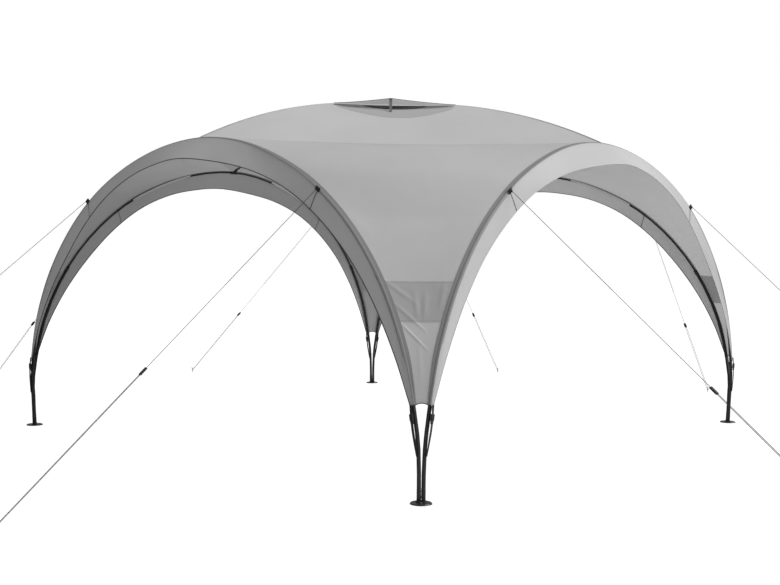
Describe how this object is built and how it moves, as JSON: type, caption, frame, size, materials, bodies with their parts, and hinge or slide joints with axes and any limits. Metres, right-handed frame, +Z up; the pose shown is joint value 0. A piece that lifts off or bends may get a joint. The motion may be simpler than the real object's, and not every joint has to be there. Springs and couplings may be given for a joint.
{
  "type": "arched event shelter",
  "caption": "Garden party tent with a domed grey fabric canopy over black pole arches, open sides with visors, a hooded roof vent and taut guy lines.",
  "frame": {"origin": "on the ground below the peak of the roof, midway between the feet and between the outer pegs", "axes": "+Z up; the front arch faces -Y, the left arch -X, and the roof vent faces the front left corner"},
  "size_m": [6.687, 7.3976, 2.239],
  "materials": {
    "canopy_fabric": "coated polyester, satin",
    "visor_fabric": "coated polyester, satin",
    "vent_mesh": "open black mesh",
    "pole": "black powder coat, semi-matte",
    "foot": "black, semi-matte",
    "webbing": "black woven webbing",
    "guy_line": "dark braided cord",
    "peg": "zinc plated"
  },
  "bodies": {
    "root": {"foot_plate_front_left": "foot", "corner_panel_front_left": "canopy_fabric", "foot_plate_front_right": "foot", "corner_panel_front_right": "canopy_fabric", "foot_plate_back_right": "foot", "corner_panel_back_right": "canopy_fabric", "foot_plate_back_left": "foot", "corner_panel_back_left": "canopy_fabric", "arch_pole_front": "pole", "apex_tee_front": "pole", "visor_front": "visor_fabric", "leg_front_left": "pole", "hem_strap_front_left": "webbing", "guy_line_front_left": "guy_line", "peg_front_left": "peg", "leg_front_right": "pole", "hem_strap_front_right": "webbing", "guy_line_front_right": "guy_line", "peg_front_right": "peg", "arch_pole_right": "pole", "apex_tee_right": "pole", "visor_right": "visor_fabric", "leg_right_left": "pole", "hem_strap_right_left": "webbing", "guy_line_right_left": "guy_line", "peg_right_left": "peg", "leg_right_right": "pole", "hem_strap_right_right": "webbing", "guy_line_right_right": "guy_line", "peg_right_right": "peg", "arch_pole_back": "pole", "apex_tee_back": "pole", "visor_back": "visor_fabric", "leg_back_left": "pole", "hem_strap_back_left": "webbing", "guy_line_back_left": "guy_line", "peg_back_left": "peg", "leg_back_right": "pole", "hem_strap_back_right": "webbing", "guy_line_back_right": "guy_line", "peg_back_right": "peg", "arch_pole_left": "pole", "apex_tee_left": "pole", "visor_left": "visor_fabric", "leg_left_left": "pole", "hem_strap_left_left": "webbing", "guy_line_left_left": "guy_line", "peg_left_left": "peg", "leg_left_right": "pole", "hem_strap_left_right": "webbing", "guy_line_left_right": "guy_line", "peg_left_right": "peg", "ridge_pole_front_back": "pole", "ridge_pole_left_right": "pole", "roof_panel": "canopy_fabric", "vent_hood": "canopy_fabric", "vent_mesh": "vent_mesh", "vent_prop": "webbing"}
  },
  "joints": []
}
